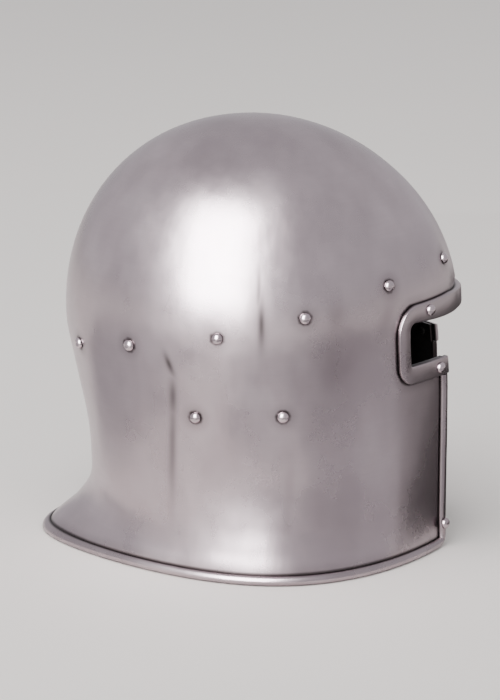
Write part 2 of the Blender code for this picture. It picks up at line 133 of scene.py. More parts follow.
# Wall's shape from the rim up to the brow, as shares of the sizes above
WALL = (
    {"height": 0.000, "flare": 1.00, "splay": 1.00, "swell": 0.00, "jut": 0.65, "keen": 1.00},
    {"height": 0.053, "flare": 0.84, "splay": 0.86, "swell": 0.00, "jut": 0.66, "keen": 0.98},
    {"height": 0.133, "flare": 0.36, "splay": 0.56, "swell": 0.00, "jut": 0.77, "keen": 0.95},
    {"height": 0.233, "flare": 0.04, "splay": 0.24, "swell": 0.00, "jut": 0.91, "keen": 0.92},
    {"height": 0.367, "flare": 0.00, "splay": 0.00, "swell": 0.00, "jut": 0.99, "keen": 0.88},
    {"height": 0.533, "flare": 0.00, "splay": 0.00, "swell": 0.15, "jut": 0.99, "keen": 0.82},
    {"height": 0.767, "flare": 0.00, "splay": 0.00, "swell": 0.62, "jut": 0.77, "keen": 0.65},
    {"height": 1.000, "flare": 0.00, "splay": 0.00, "swell": 1.00, "jut": 0.00, "keen": 0.00},
)

# Rivets on one side: turn is 0 at the face and 1 at the nape, and rise is the share of the way
# from the line's height at the back to its height at the front
LINING_RIVETS = (
    {"turn": 0.871, "rise": 0.00},
    {"turn": 0.717, "rise": 0.19},
    {"turn": 0.558, "rise": 0.40},
    {"turn": 0.421, "rise": 0.64},
    {"turn": 0.268, "rise": 0.90},
    {"turn": 0.081, "rise": 1.00},
)
CHIN_STRAP_RIVETS = (
    {"turn": 0.600, "rise": 0.00},
    {"turn": 0.459, "rise": 1.00},
)

# Painted dark reflections on the wearer's right side, fixed in the polish: middle and half size along
# the head and up, how far the top leans forward for each metre of height, and how dark each one is
DARK_REFLECTIONS = (
    {"along": 0.0050, "up": 0.1650, "wide": 0.0036, "tall": 0.022, "lean": 0.00, "dark": 0.93},
    {"along": 0.0035, "up": 0.1850, "wide": 0.0020, "tall": 0.018, "lean": 0.03, "dark": 0.70},
    {"along": -0.0506, "up": 0.1370, "wide": 0.0028, "tall": 0.010, "lean": -0.35, "dark": 0.90},
    {"along": -0.0485, "up": 0.1160, "wide": 0.0032, "tall": 0.016, "lean": 0.00, "dark": 0.75},
    {"along": -0.0490, "up": 0.0840, "wide": 0.0030, "tall": 0.042, "lean": 0.02, "dark": 0.58},
    {"along": 0.0215, "up": 0.0450, "wide": 0.0045, "tall": 0.036, "lean": 0.03, "dark": 0.22},
    {"along": 0.0475, "up": 0.1330, "wide": 0.0075, "tall": 0.022, "lean": 0.00, "dark": 0.18},
    {"along": 0.0506, "up": 0.1680, "wide": 0.0060, "tall": 0.009, "lean": 0.00, "dark": 0.20},
    {"along": 0.0820, "up": 0.1600, "wide": 0.0060, "tall": 0.017, "lean": 0.25, "dark": 0.20},
)
DARK_REFLECTION_COLOUR = (0.04, 0.033, 0.033)
DARK_REFLECTION_FADE = -1.4
DARK_REFLECTION_ROUGHNESS = 0.15
DARK_REFLECTION_MIDDLE_FADE = 0.02

# Patterns of the finishes: noise scale, and its detail, roughness and stretch
CLOUDS = {"scale": 14.0, "detail": 4.0, "stretch": (1.0, 1.0, 0.7)}
SPECKS = {"scale": 90.0, "roughness": 0.6}
POLISH_LINES = {"scale": 900.0, "detail": 2.0, "stretch": (0.05, 0.05, 1.0)}
UPRIGHTS = {"scale": 38.0, "stretch": (1.0, 1.0, 0.10)}
HAMMER_WAVES = {"scale": 26.0, "detail": 2.0}
INSIDE_CLOUDS = {"scale": 30.0, "detail": 4.0}
RUST = {"scale": 160.0}
PAINT_CLOUDS = {"scale": 3.0}

# Spreads: the values of a pattern between which its effect comes or goes
CLOUD_SPREAD = (0.35, 0.65)
SPECK_SPREAD = (0.58, 0.80)
LINE_SPREAD = (0.30, 0.70)
UPRIGHT_SPREAD = (0.35, 0.60)
RUST_SPREAD = (0.62, 0.75)
ROUGH_CLOUD_SPREAD = (0.3, 0.7)
ROUGH_SPECK_SPREAD = (0.4, 0.8)

# How much of a darker or warmer shade each pattern lays over the colour below it, at the most
SPECK_SHARE = 0.20
LINE_SHARE = 0.14
UPRIGHT_SHARE = 0.30
RUST_SHARE = 0.5

# How far the patterns take the polish's roughness down and up
CLOUD_SMOOTHER = 0.05
CLOUD_ROUGHER = 0.07
SPECK_ROUGHER = 0.03

# Bumps: their strength and their depth in metres
HAMMER_BUMP = (0.28, 0.0016)
UPRIGHT_BUMP = (0.30, 0.0010)
LINE_BUMP = (0.04, 0.00012)
INSIDE_BUMP = (0.4, 0.0012)

# Shades, as shares of a finish's own colour
BRIGHT_SHADE = (1.12, 1.12, 1.12)
DULL_SHADE = (0.80, 0.78, 0.79)
WARM_SHADE = (0.86, 0.78, 0.74)
INSIDE_SHADE = (0.60, 0.60, 0.60)
PAINT_SHADE = (0.97, 0.97, 0.97)

# Painted shade on what faces into the helmet, with rust spots
RUST_COLOUR = (0.07, 0.045, 0.035)
INSIDE_METAL = 0.6
INSIDE_ROUGHNESS = (0.50, 0.70)

# Painted shade in the creases, by its distance from an edge that lies on the bowl, or from a strip's foot
CREASE_SHADE_FULL = 0.0004
CREASE_SHADE_END = 0.0022
CREASE_SHADE_SHARE = 0.92
SHADE_HAZE_END = 0.008
SHADE_HAZE_SHARE = 0.25
FOOT_SHADE = 1.5

# Camera, at the photo's angle in a frame of 500 by 700
CAMERA_ELEVATION = math.radians(15.5)
CAMERA_TURN = math.radians(-1.0)
CAMERA_DISTANCE = 1.6
CAMERA_AIM_HEIGHT = 0.140
CAMERA_LENS = 128.57
CAMERA_SENSOR = 36.0
FRAME_WIDE = 500
FRAME_TALL = 700
AIM_ACROSS = 251.3
AIM_DOWN = 319.0

# Softboxes: turn from the camera's side to the nape and rise above the floor in degrees, and
# whether the lamp lights matt surfaces alone or shows in reflections alone
LIGHT_COLOUR = (1.0, 0.985, 0.985)
LIGHTS = (
    {"name": "window", "turn": 22, "rise": 30, "away": 2.3, "size": (1.4, 2.4), "power": 270, "matt": False},
    {"name": "halo", "turn": 20, "rise": 36, "away": 2.5, "size": (2.9, 3.4), "power": 17, "matt": False},
    {"name": "above", "turn": 40, "rise": 70, "away": 2.6, "size": (2.2, 2.2), "power": 60, "matt": True},
)

# Floor, its paint and the air above it
AIR_COLOUR = (0.90, 0.88, 0.92, 1.0)
AIR_STRENGTH = 0.80
PAINT_ROUGHNESS = 0.9
FLOOR_RADIUS = 14.0
FLOOR_SIDES = 96

# Cards on the floor that darken what the walls reflect
CARD_LIFT = 0.002
CARDS = (
    {"name": "dark_card", "low": (-0.085, -0.72), "high": (0.90, -0.160), "colour": (0.03, 0.026, 0.024)},
    {"name": "side_card", "low": (-0.25, -0.72), "high": (-0.090, -0.10), "colour": (0.44, 0.43, 0.44)},
    {"name": "front_card", "low": (-0.75, -0.72), "high": (-0.255, 0.10), "colour": (0.24, 0.23, 0.24)},
    {"name": "rear_card", "low": (-0.60, 0.22), "high": (0.10, 0.90), "colour": (0.36, 0.35, 0.36)},
)


class BarbuteSizes(bpy.types.PropertyGroup):
    """Sizes that a user would change."""

    sheet: bpy.props.FloatProperty(
        name="Sheet", description="Thickness of the bowl's steel", default=0.002, unit="LENGTH"
    )
    trim: bpy.props.FloatProperty(
        name="Trim", description="Thickness of the eye trim", default=0.0026, unit="LENGTH"
    )
    bevel: bpy.props.FloatProperty(
        name="Trim edge", description="Round of the eye trim's edges", default=0.0009, unit="LENGTH"
    )
    strip_width: bpy.props.FloatProperty(
        name="Strip width", description="Width of the edge strips", default=0.0062, unit="LENGTH"
    )
    strip_proud: bpy.props.FloatProperty(
        name="Strip height", description="How far the strips stand proud", default=0.0028, unit="LENGTH"
    )
    head_radius: bpy.props.FloatProperty(
        name="Rivet head", description="Radius of a rivet's head", default=0.0036, unit="LENGTH"
    )
    head_sides: bpy.props.IntProperty(
        name="Rivet sides", description="Sides of a rivet's head", default=36, min=8
    )


class BarbuteFinish(bpy.types.PropertyGroup):
    """Colours and finish that a user would change."""

    steel: bpy.props.FloatVectorProperty(
        name="Steel", description="Colour of the polished steel", default=(0.50, 0.432, 0.455),
        size=3, min=0.0, max=1.0, subtype="COLOR",
    )
    # The colour of the painted shade in the creases and round the rivets
    crease_shade: bpy.props.FloatVectorProperty(
        name="Crease_shade", description="Colour of the dirt in the creases", default=(0.035, 0.028, 0.028),
        size=3, min=0.0, max=1.0, subtype="COLOR",
    )
    # The colour of the painted shade on what faces into the helmet
    inside: bpy.props.FloatVectorProperty(
        name="Inside", description="Colour of the blackened inside", default=(0.035, 0.033, 0.032),
        size=3, min=0.0, max=1.0, subtype="COLOR",
    )
    floor: bpy.props.FloatVectorProperty(
        name="Floor", description="Colour of the floor", default=(0.90, 0.87, 0.82),
        size=3, min=0.0, max=1.0, subtype="COLOR",
    )
    roughness: bpy.props.FloatProperty(
        name="Roughness", description="Roughness of the polish", default=0.27, min=0.0, max=1.0,
        subtype="FACTOR",
    )


def sizes():
    """The scene's sizes."""
    return bpy.context.scene.barbute_sizes


def finish():
    """The scene's colours and finish."""
    return bpy.context.scene.barbute_finish


def wall_row(height):
    """The wall's columns at a height, on a smooth curve through the rows of WALL."""
    share = min(max(height / BROW_HEIGHT, 0.0), 1.0)
    last = len(WALL) - 1
    index = max(k for k in range(last) if WALL[k]["height"] <= share)
    low, high = WALL[index], WALL[index + 1]
    span = high["height"] - low["height"]
    along = (share - low["height"]) / span

    def slope(k, column):
        if k == last:
            return 0.0
        before, after = WALL[max(k - 1, 0)], WALL[k + 1]
        return (after[column] - before[column]) / (after["height"] - before["height"])

    row = {}
    for column in ("flare", "splay", "swell", "jut", "keen"):
        leave = slope(index, column) * span
        arrive = slope(index + 1, column) * span
        row[column] = (
            low[column] * (2 * along**3 - 3 * along**2 + 1)
            + leave * (along**3 - 2 * along**2 + along)
            + high[column] * (3 * along**2 - 2 * along**3)
            + arrive * (along**3 - along**2)
        )
    return row


# Level sections that are already worked out, by height
sections = {}


def section(height):
    """Front, back, half width, widest place, front and back roundness of a level section."""
    if height in sections:
        return sections[height]
    row = wall_row(height)
    front = BROW_REACH + (CHEEK_REACH - BROW_REACH) * row["jut"]
    back = NAPE_REACH + (TAIL_REACH - NAPE_REACH) * row["flare"]
    back += (SKULL_REACH - NAPE_REACH) * row["swell"]
    width = NECK_HALF_WIDTH + (RIM_HALF_WIDTH - NECK_HALF_WIDTH) * row["splay"]
    width += (SKULL_HALF_WIDTH - NECK_HALF_WIDTH) * row["swell"]
    below = min(max(1.0 - height / BROW_HEIGHT, 0.0), 1.0)
    widest = -WIDEST_FORWARD * below**2
    front_round = BROW_POINT + (CHEEK_POINT - BROW_POINT) * row["keen"]
    back_round = -TAIL_TAPER * row["splay"]
    if height > BROW_HEIGHT:
        share = min((height - BROW_HEIGHT) / (HEIGHT - BROW_HEIGHT), 1.0)
        front *= (1.0 - share**FRONT_FULLNESS) ** (1.0 / FRONT_FULLNESS)
        back *= (1.0 - share**BACK_FULLNESS) ** (1.0 / BACK_FULLNESS)
        width *= (1.0 - share**SIDE_FULLNESS) ** (1.0 / SIDE_FULLNESS)
        front_round *= 1.0 - share
    sections[height] = (front, back, width, widest, front_round, back_round)
    return sections[height]


def skin(turn, height):
    """A point of the bowl's outer skin: turn is 0 at the face and pi at the nape."""
    front, back, width, widest, front_round, back_round = section(height)
    middle = (back - front) / 2
    reach = (back + front) / 2
    lean = (middle - widest) / 2
    y = middle - reach * math.cos(turn) + lean * (math.cos(2 * turn) - 1)
    facing = (1 + math.cos(turn)) / 2
    roundness = front_round * facing + back_round * (1 - facing)
    x = math.sin(turn) + roundness * math.sin(3 * turn)
    x *= width / (1 - (front_round + back_round) / 2)
    return Vector((-x, y, height))


def outward(turn, height):
    """The unit normal of the skin, pointing out."""
    across = skin(turn + SLOPE_STEP, height) - skin(turn - SLOPE_STEP, height)
    up = skin(turn, height + SLOPE_STEP) - skin(turn, height - SLOPE_STEP)
    return up.cross(across).normalized()


def ridged(turn, height):
    """A point of the skin with the low ridge that runs up the dome from the brow bar."""
    point = skin(turn, height)
    across = max(1.0 - abs(point.x) / RIDGE_REACH, 0.0)
    foot = min(max((height - RIDGE_FOOT) / RIDGE_RISE, 0.0), 1.0)
    fade = min(max((RIDGE_TOP - height) / (RIDGE_TOP - RIDGE_FOOT), 0.0), 1.0)
    if point.y > 0.0 or across * foot * fade == 0.0:
        return point
    rise = RIDGE * across**2 * (3 - 2 * across) * foot * fade**RIDGE_FADE
    return point + outward(turn, height) * rise


def mirrored(point, side):
    """A point as it lies on a side: 1 for the wearer's right and -1 for the left."""
    return Vector((side * point.x, point.y, point.z))


def lifted(turn, height, lift):
    """A point level with one of the skin, at a thickness of lift outside it."""
    normal = outward(turn, height)
    level = Vector((normal.x, normal.y, 0.0))
    return skin(turn, height) + level.normalized() * (lift / level.length)


def turn_at(length, height):
    """The turn that lies a length along the skin from the middle of the face."""
    turn = 0.0
    here = skin(turn, height)
    walked = 0.0
    while walked < abs(length):
        turn += ARC_STEP
        there = skin(turn, height)
        stride = (there - here).length
        walked += stride
        here = there
    if walked > 0.0:
        turn -= ARC_STEP * (walked - abs(length)) / stride
    return math.copysign(turn, length) if length else 0.0


def spot(length, height):
    """A turn and a height, from a length along the skin and a height."""
    return turn_at(length, height), height


def between(start, end, share):
    """A value or a pair of values part of the way from start to end."""
    if isinstance(start, tuple):
        return tuple(between(a, b, share) for a, b in zip(start, end))
    return start + (end - start) * share


def steps(start, end, count):
    """Evenly spaced values from start to end, both included."""
    return [between(start, end, k / count) for k in range(count + 1)]


def brow_line(length, height, dip=BROW_DIP, reach=BROW_DIP_REACH):
    """A height on the brow, which dips towards the middle of the face."""
    return height - dip * max(1.0 - (length / reach) ** 2, 0.0)


def shift():
    """How far the helmet is moved so that the origin lies under its middle."""
    tail = lifted(math.pi, sizes().strip_width / 2, GAP + sizes().strip_proud).y
    brow = lifted(0.0, EYE_TOP - BROW_DIP, GAP + sizes().trim + TRIM_KEEL).y
    return Vector((0.0, -(tail + brow) / 2, 0.0))


def trim_stations():
    """Pairs of places on the eye trim's inner and outer edges, and the keel's height."""
    bevel = sizes().bevel
    outer_rear = EYE_REAR + EYE_POST
    outer_top = EYE_TOP + BROW_BAR
    outer_low = EYE_FLOOR_REAR - CHEEK_ARM
    pairs = []
    straight = min(EYE_REAR - INNER_CORNER, outer_rear - OUTER_CORNER)
    for length in steps(0.0, straight, math.ceil(straight / BAR_STEP)):
        keel = TRIM_KEEL * max(1.0 - length / TRIM_KEEL_REACH, 0.0)
        inner = (length, brow_line(length, EYE_TOP))
        outer = (length, brow_line(length, outer_top, BAR_DIP, BAR_DIP_REACH))
        pairs.append((inner, outer, keel))
    for angle in steps(0.0, math.pi / 2, CORNER_STEPS)[1:]:
        sine, cosine = math.sin(angle), math.cos(angle)
        inner = (EYE_REAR - INNER_CORNER * (1 - sine), EYE_TOP - INNER_CORNER * (1 - cosine))
        outer = (outer_rear - OUTER_CORNER * (1 - sine), outer_top - OUTER_CORNER * (1 - cosine))
        pairs.append((inner, outer, 0.0))
    upper = (pairs[-1][0][1], pairs[-1][1][1])
    lower = (EYE_FLOOR_REAR + bevel, outer_low + LOWER_CORNER)
    count = math.ceil((upper[1] - lower[1]) / BAR_STEP)
    for inner_height, outer_height in steps(upper, lower, count)[1:-1]:
        pairs.append(((EYE_REAR, inner_height), (outer_rear, outer_height), 0.0))
    for angle in steps(0.0, math.pi / 2, CORNER_STEPS):
        sine, cosine = math.sin(angle), math.cos(angle)
        inner = (EYE_REAR - bevel * (1 - cosine), EYE_FLOOR_REAR + bevel * (1 - sine))
        outer = (outer_rear - LOWER_CORNER * (1 - cosine), outer_low + LOWER_CORNER * (1 - sine))
        pairs.append((inner, outer, 0.0))
    start = (EYE_REAR - bevel, outer_rear - LOWER_CORNER)
    count = math.ceil((start[0] - SLIT_HALF) / BAR_STEP)
    for share in steps(0.0, 1.0, count)[1:]:
        height = between(EYE_FLOOR_REAR, EYE_FLOOR_FRONT, share)
        inner = (between(start[0], SLIT_HALF, share), height)
        outer = (between(start[1], SLIT_HALF, share), height - CHEEK_ARM)
        pairs.append((inner, outer, 0.0))
    return [(spot(*inner), spot(*outer), keel) for inner, outer, keel in pairs]


def trim_profile(keel):
    """The trim's section with rounded edges: shares of the way across, and lifts."""
    bevel = sizes().bevel
    round_share = bevel / BROW_BAR
    shoulder = GAP + sizes().trim - bevel + keel
    points = [(0.0, GAP)]
    for angle in steps(0.0, math.pi / 2, EDGE_STEPS):
        points.append((round_share * (1 - math.cos(angle)), shoulder + bevel * math.sin(angle)))
    points.append((0.5, shoulder + bevel))
    for angle in steps(math.pi / 2, 0.0, EDGE_STEPS):
        points.append((1 - round_share * (1 - math.cos(angle)), shoulder + bevel * math.sin(angle)))
    return points + [(1.0, GAP), (0.5, GAP)]


def strip_profile(keel):
    """A half-round strip with a lip under the sheet's edge, across from that edge."""
    points = []
    for angle in steps(0.0, math.pi, ROUND_STEPS):
        lift = GAP + (sizes().strip_proud + keel) * math.sin(angle)
        points.append(((1 + math.cos(angle)) / 2, lift))
    lip = STRIP_LIP / sizes().strip_width
    return points + [(0.0, -sizes().sheet), (lip, -sizes().sheet), (lip, GAP)]


def corner_place(angle):
    """A place on the cheek's rounded lower corner, 0 at the slit and pi / 2 at the rim."""
    length = SLIT_HALF + CHEEK_CORNER * (1 - math.cos(angle))
    return length, CHEEK_CORNER * (1 - math.sin(angle))


def cheek_strip_pairs():
    """Places on a cheek strip's edge line and crease line, from its top to the mitre."""
    width = sizes().strip_width
    top = EYE_FLOOR_FRONT - CHEEK_ARM - GAP
    straight = top - CHEEK_CORNER
    pairs = []
    for share in steps(0.0, 1.0, math.ceil(straight / BAR_STEP)):
        height = top - straight * share
        pairs.append(((SLIT_HALF, height), (SLIT_HALF + width, height)))
    for share in steps(0.0, 1.0, CORNER_STEPS)[1:]:
        edge = corner_place(share * math.pi / 4)
        pairs.append((edge, (SLIT_HALF + width, between(CHEEK_CORNER, width, share))))
    return [(spot(*edge), spot(*crease), 0.0) for edge, crease in pairs]


def rim_strip_pairs():
    """Places on the rim strip's edge line and crease line, from the mitre to the nape."""
    width = sizes().strip_width
    pairs = []
    first = math.pi / 4 + GAP / CHEEK_CORNER
    for share in steps(0.0, 1.0, CORNER_STEPS):
        edge = corner_place(between(first, math.pi / 2, share))
        crease = between(width + GAP, CHEEK_CORNER, share)
        pairs.append((spot(*edge), spot(SLIT_HALF + crease, width), 0.0))
    last_turn = pairs[-1][1][0]
    for turn in steps(0.0, math.pi, COLUMNS // 2):
        if turn > last_turn + MERGE:
            pairs.append(((turn, 0.0), (turn, width), 0.0))
    return pairs


def opening_outline():
    """Places on the edge cut in the bowl on one side, from the brow down and back under."""
    under = STRIP_LIP + GAP
    top, rear, radius = EYE_TOP + GAP, EYE_REAR + GAP, INNER_CORNER + GAP
    count = math.ceil((rear - radius) / BAR_STEP)
    edge = [(length, brow_line(length, top)) for length in steps(0.0, rear - radius, count)]
    for angle in steps(0.0, math.pi / 2, CORNER_STEPS)[1:]:
        edge.append((rear - radius * (1 - math.sin(angle)), top - radius * (1 - math.cos(angle))))
    low, front = EYE_FLOOR_REAR - GAP, (SLIT_HALF + under, EYE_FLOOR_FRONT - GAP)
    edge += [(rear, height) for height in steps(edge[-1][1], low, CORNER_STEPS)[1:]]
    count = math.ceil((rear - front[0]) / BAR_STEP)
    edge += steps((rear, low), front, count)[1:]
    outline = [spot(*place) for place in edge]
    share = under / sizes().strip_width
    sides = cheek_strip_pairs()[1:] + rim_strip_pairs()[:CORNER_STEPS + 1]
    outline += [between(edge, crease, share) for edge, crease, keel in sides]
    turn = outline[-1][0]
    return outline + [(turn * part, -under) for part in steps(1.0, 0.0, CORNER_STEPS)]


def plain_object(name, mesh, materials):
    """An object at the origin with its materials."""
    for material in materials:
        mesh.materials.append(material)
    item = bpy.data.objects.new(name, mesh)
    bpy.context.scene.collection.objects.link(item)
    return item


def mesh_of(name, bm):
    """A smooth mesh from a bmesh, moved to its place, with its faces pointing out."""
    bmesh.ops.remove_doubles(bm, verts=bm.verts[:], dist=MERGE)
    bmesh.ops.recalc_face_normals(bm, faces=bm.faces[:])
    bmesh.ops.translate(bm, verts=bm.verts[:], vec=shift())
    mesh = bpy.data.meshes.new(name)
    bm.to_mesh(mesh)
    bm.free()
    mesh.shade_smooth()
    mesh.set_sharp_from_angle(angle=SHARP_EDGE)
    return mesh


def moulding(bm, stations, profile, caps, side=1):
    """Adds a profile that is carried over the skin, with painted shade where it faces into the helmet."""
    crease = bm.verts.layers.float.get("crease") or bm.verts.layers.float.new("crease")
    rings = []
    for first, second, keel in stations:
        ring = []
        for across, lift in profile(keel):
            turn, height = between(first, second, across)
            vertex = bm.verts.new(mirrored(lifted(turn, height, lift), side))
            # Painted shade at the moulding's foot, fading with the height above the skin
            vertex[crease] = FOOT_SHADE * max(lift - GAP, 0.0)
            ring.append(vertex)
        rings.append(ring)
    points = profile(0.0)
    for ring, following in zip(rings, rings[1:]):
        for k, vertex in enumerate(ring):
            n = (k + 1) % len(ring)
            face = bm.faces.new((vertex, ring[n], following[n], following[k]))
            # Faces of the profile that face into the helmet take the painted shade
            behind = max(points[k][1], points[n][1]) <= GAP
            face.material_index = int(behind and max(points[k][0], points[n][0]) > 0.0)
    if caps[0]:
        bm.faces.new(rings[0])
    if caps[1]:
        bm.faces.new(rings[-1])


def applied(item):
    """Turns an object's modifiers into plain mesh and removes them."""
    evaluated = item.evaluated_get(bpy.context.evaluated_depsgraph_get())
    mesh = bpy.data.meshes.new_from_object(evaluated)
    mesh.name = item.name
    item.modifiers.clear()
    item.data = mesh
    return mesh


def steel_piece(item, nodes):
    """Sets a finished piece under its body and hides the nodes that it stands for."""
    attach(item, "root")
    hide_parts(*nodes)


def rivet_places():
    """Name, turn, height and seat of every rivet on the wearer's right side."""
    places = []
    seat = GAP + sizes().trim
    for line, rows, kind in (
        ((LINING_LINE_BACK, LINING_LINE_FRONT), LINING_RIVETS, "lining_rivet"),
        ((CHIN_STRAP_LINE_BACK, CHIN_STRAP_LINE_FRONT), CHIN_STRAP_RIVETS, "chin_strap_rivet"),
    ):
        for k, row in enumerate(rows, start=1):
            places.append((kind, f"_{k}", math.pi * row["turn"], between(*line, row["rise"]), 0.0))
    height = EYE_TOP + BROW_BAR / 2
    places.append(("brow_rivet", "", turn_at(BROW_RIVET_REACH, height), height, seat))
    height = EYE_FLOOR_FRONT - CHEEK_ARM / 2
    places.append(("cheek_rivet", "", turn_at(SLIT_HALF + CHEEK_RIVET_SET_BACK, height), height, seat))
    turn = turn_at(SLIT_HALF + STRIP_RIVET_DEPTH, STRIP_RIVET_HEIGHT)
    places.append(("strip_rivet", "", turn, STRIP_RIVET_HEIGHT, GAP + sizes().strip_proud))
    return places


def node(tree, kind, links=(), **settings):
    """A node with its settings and its inputs: values, or sockets to link."""
    made = tree.nodes.new(kind)
    for name, value in settings.items():
        setattr(made, name, value)
    for name, value in dict(links).items():
        socket = made.inputs[name]
        if isinstance(value, bpy.types.NodeSocket):
            tree.links.new(value, socket)
        else:
            socket.default_value = value
    return made


def maths(tree, operation, *values, clamp=False):
    """The result of a math node."""
    made = node(tree, "ShaderNodeMath", dict(enumerate(values)), operation=operation, use_clamp=clamp)
    return made.outputs[0]


def mixed(tree, share, first, second):
    """A colour between two colours."""
    made = node(tree, "ShaderNodeMix", data_type="RGBA")
    for index, value in ((0, share), (6, first), (7, second)):
        if isinstance(value, bpy.types.NodeSocket):
            tree.links.new(value, made.inputs[index])
        else:
            made.inputs[index].default_value = (*value, 1.0) if index else value
    return made.outputs[2]


def shade(colour, share):
    """A colour times a shade, at most white."""
    return tuple(min(c * s, 1.0) for c, s in zip(colour, share))


def ranged(tree, value, low, high, new_low, new_high, smooth=False):
    """A value carried from one range to another."""
    made = node(
        tree,
        "ShaderNodeMapRange",
        {0: value, 1: low, 2: high, 3: new_low, 4: new_high},
        interpolation_type="SMOOTHSTEP" if smooth else "LINEAR",
    )
    return made.outputs[0]


def noise(tree, place, scale, detail=3.0, stretch=(1.0, 1.0, 1.0), roughness=0.5):
    """Noise in the object's own space, stretched along its axes."""
    moved = node(tree, "ShaderNodeMapping", {"Vector": place, "Scale": stretch})
    made = node(
        tree,
        "ShaderNodeTexNoise",
        {"Vector": moved.outputs[0], "Scale": scale, "Detail": detail, "Roughness": roughness},
    )
    return made.outputs[0]


def dark_reflection(tree, place, row):
    """How much of a painted dark reflection covers a place on the wearer's right side, from 0 to its
    darkness.
    """
    axes = node(tree, "ShaderNodeSeparateXYZ", {0: place}).outputs
    rise = maths(tree, "SUBTRACT", axes[2], row["up"])
    along = maths(tree, "ADD", axes[1], row["along"])
    along = maths(tree, "MULTIPLY_ADD", rise, row["lean"], along)
    across = maths(tree, "POWER", maths(tree, "DIVIDE", along, row["wide"]), 2.0)
    upward = maths(tree, "POWER", maths(tree, "DIVIDE", rise, row["tall"]), 2.0)
    away = maths(tree, "ADD", across, upward)
    near = maths(tree, "EXPONENT", maths(tree, "MULTIPLY", away, DARK_REFLECTION_FADE))
    side = ranged(tree, axes[0], -DARK_REFLECTION_MIDDLE_FADE, DARK_REFLECTION_MIDDLE_FADE, row["dark"], 0.0)
    return maths(tree, "MULTIPLY", near, side)


def new_material(name):
    """A material, its node tree, its shader and the object's own coordinates."""
    material = bpy.data.materials.new(name)
    material.use_nodes = True
    tree = material.node_tree
    place = node(tree, "ShaderNodeTexCoord").outputs["Object"]
    return material, tree, tree.nodes["Principled BSDF"], place


def bumped(tree, height, bump, share=1.0, below=None):
    """A share of a bump, on top of the bump below it."""
    strength, depth = bump
    links = {"Height": height, "Strength": strength * share, "Distance": depth}
    if below is not None:
        links["Normal"] = below
    return node(tree, "ShaderNodeBump", links).outputs[0]


def crease_shaded(tree, colour):
    """A colour with painted shade in the creases and a fainter painted shade round them."""
    near = node(tree, "ShaderNodeAttribute", attribute_name="crease").outputs["Fac"]
    painted_shade = ranged(tree, near, CREASE_SHADE_FULL, CREASE_SHADE_END, 1.0, 0.0, smooth=True)
    colour = mixed(tree, maths(tree, "MULTIPLY", painted_shade, CREASE_SHADE_SHARE), colour, finish().crease_shade)
    painted_haze = ranged(tree, near, 0.0, SHADE_HAZE_END, SHADE_HAZE_SHARE, 0.0, smooth=True)
    return mixed(tree, painted_haze, colour, finish().crease_shade)


def steel(name, tint=1.0, dullness=0.0, waves=1.0, dark_reflections=(), creases=True):
    """Satin steel: hammer waves, fine polishing lines, smudges, painted crease shade and painted dark
    reflections.
    """
    material, tree, shader, place = new_material(name)
    cloud = noise(tree, place, **CLOUDS)
    speck = noise(tree, place, **SPECKS)
    line = noise(tree, place, **POLISH_LINES)
    upright = noise(tree, place, **UPRIGHTS)
    base = tuple(tint * c for c in finish().steel)
    dull = shade(base, DULL_SHADE)
    clouded = ranged(tree, cloud, *CLOUD_SPREAD, 0.0, 1.0)
    colour = mixed(tree, clouded, dull, shade(base, BRIGHT_SHADE))
    specked = ranged(tree, speck, *SPECK_SPREAD, 0.0, SPECK_SHARE)
    colour = mixed(tree, specked, colour, shade(base, WARM_SHADE))
    colour = mixed(tree, ranged(tree, line, *LINE_SPREAD, LINE_SHARE, 0.0), colour, dull)
    streaked = ranged(tree, upright, *UPRIGHT_SPREAD, UPRIGHT_SHARE * waves, 0.0)
    colour = mixed(tree, streaked, colour, dull)
    even = finish().roughness + dullness
    rough = ranged(tree, cloud, *ROUGH_CLOUD_SPREAD, even - CLOUD_SMOOTHER, even + CLOUD_ROUGHER)
    specked = ranged(tree, speck, *ROUGH_SPECK_SPREAD, 0.0, SPECK_ROUGHER)
    rough = maths(tree, "ADD", rough, specked)
    # Painted dark reflections, laid into the colour and the roughness
    if dark_reflections:
        reflected_dark = 0.0
        for row in dark_reflections:
            reflected_dark = maths(tree, "MAXIMUM", reflected_dark, dark_reflection(tree, place, row))
        colour = mixed(tree, reflected_dark, colour, DARK_REFLECTION_COLOUR)
        rough = maths(tree, "ADD", rough, maths(tree, "MULTIPLY", reflected_dark, DARK_REFLECTION_ROUGHNESS), clamp=True)
    # Painted shade in the creases and round them
    if creases:
        colour = crease_shaded(tree, colour)
    tree.links.new(colour, shader.inputs["Base Color"])
    tree.links.new(rough, shader.inputs["Roughness"])
    shader.inputs["Metallic"].default_value = 1.0
    wavy = bumped(tree, noise(tree, place, **HAMMER_WAVES), HAMMER_BUMP, waves)
    streaky = bumped(tree, upright, UPRIGHT_BUMP, waves, wavy)
    tree.links.new(bumped(tree, line, LINE_BUMP, below=streaky), shader.inputs["Normal"])
    return material


def shaded(name):
    """Rough, dark steel with rust spots: painted shade on what faces into the helmet."""
    material, tree, shader, place = new_material(name)
    cloud = noise(tree, place, **INSIDE_CLOUDS)
    base = tuple(finish().inside)
    clouded = ranged(tree, cloud, *CLOUD_SPREAD, 0.0, 1.0)
    colour = mixed(tree, clouded, shade(base, INSIDE_SHADE), base)
    rust = ranged(tree, noise(tree, place, **RUST), *RUST_SPREAD, 0.0, RUST_SHARE)
    tree.links.new(mixed(tree, rust, colour, RUST_COLOUR), shader.inputs["Base Color"])
    rough = ranged(tree, cloud, *ROUGH_CLOUD_SPREAD, *INSIDE_ROUGHNESS)
    tree.links.new(rough, shader.inputs["Roughness"])
    shader.inputs["Metallic"].default_value = INSIDE_METAL
    tree.links.new(bumped(tree, cloud, INSIDE_BUMP), shader.inputs["Normal"])
    return material


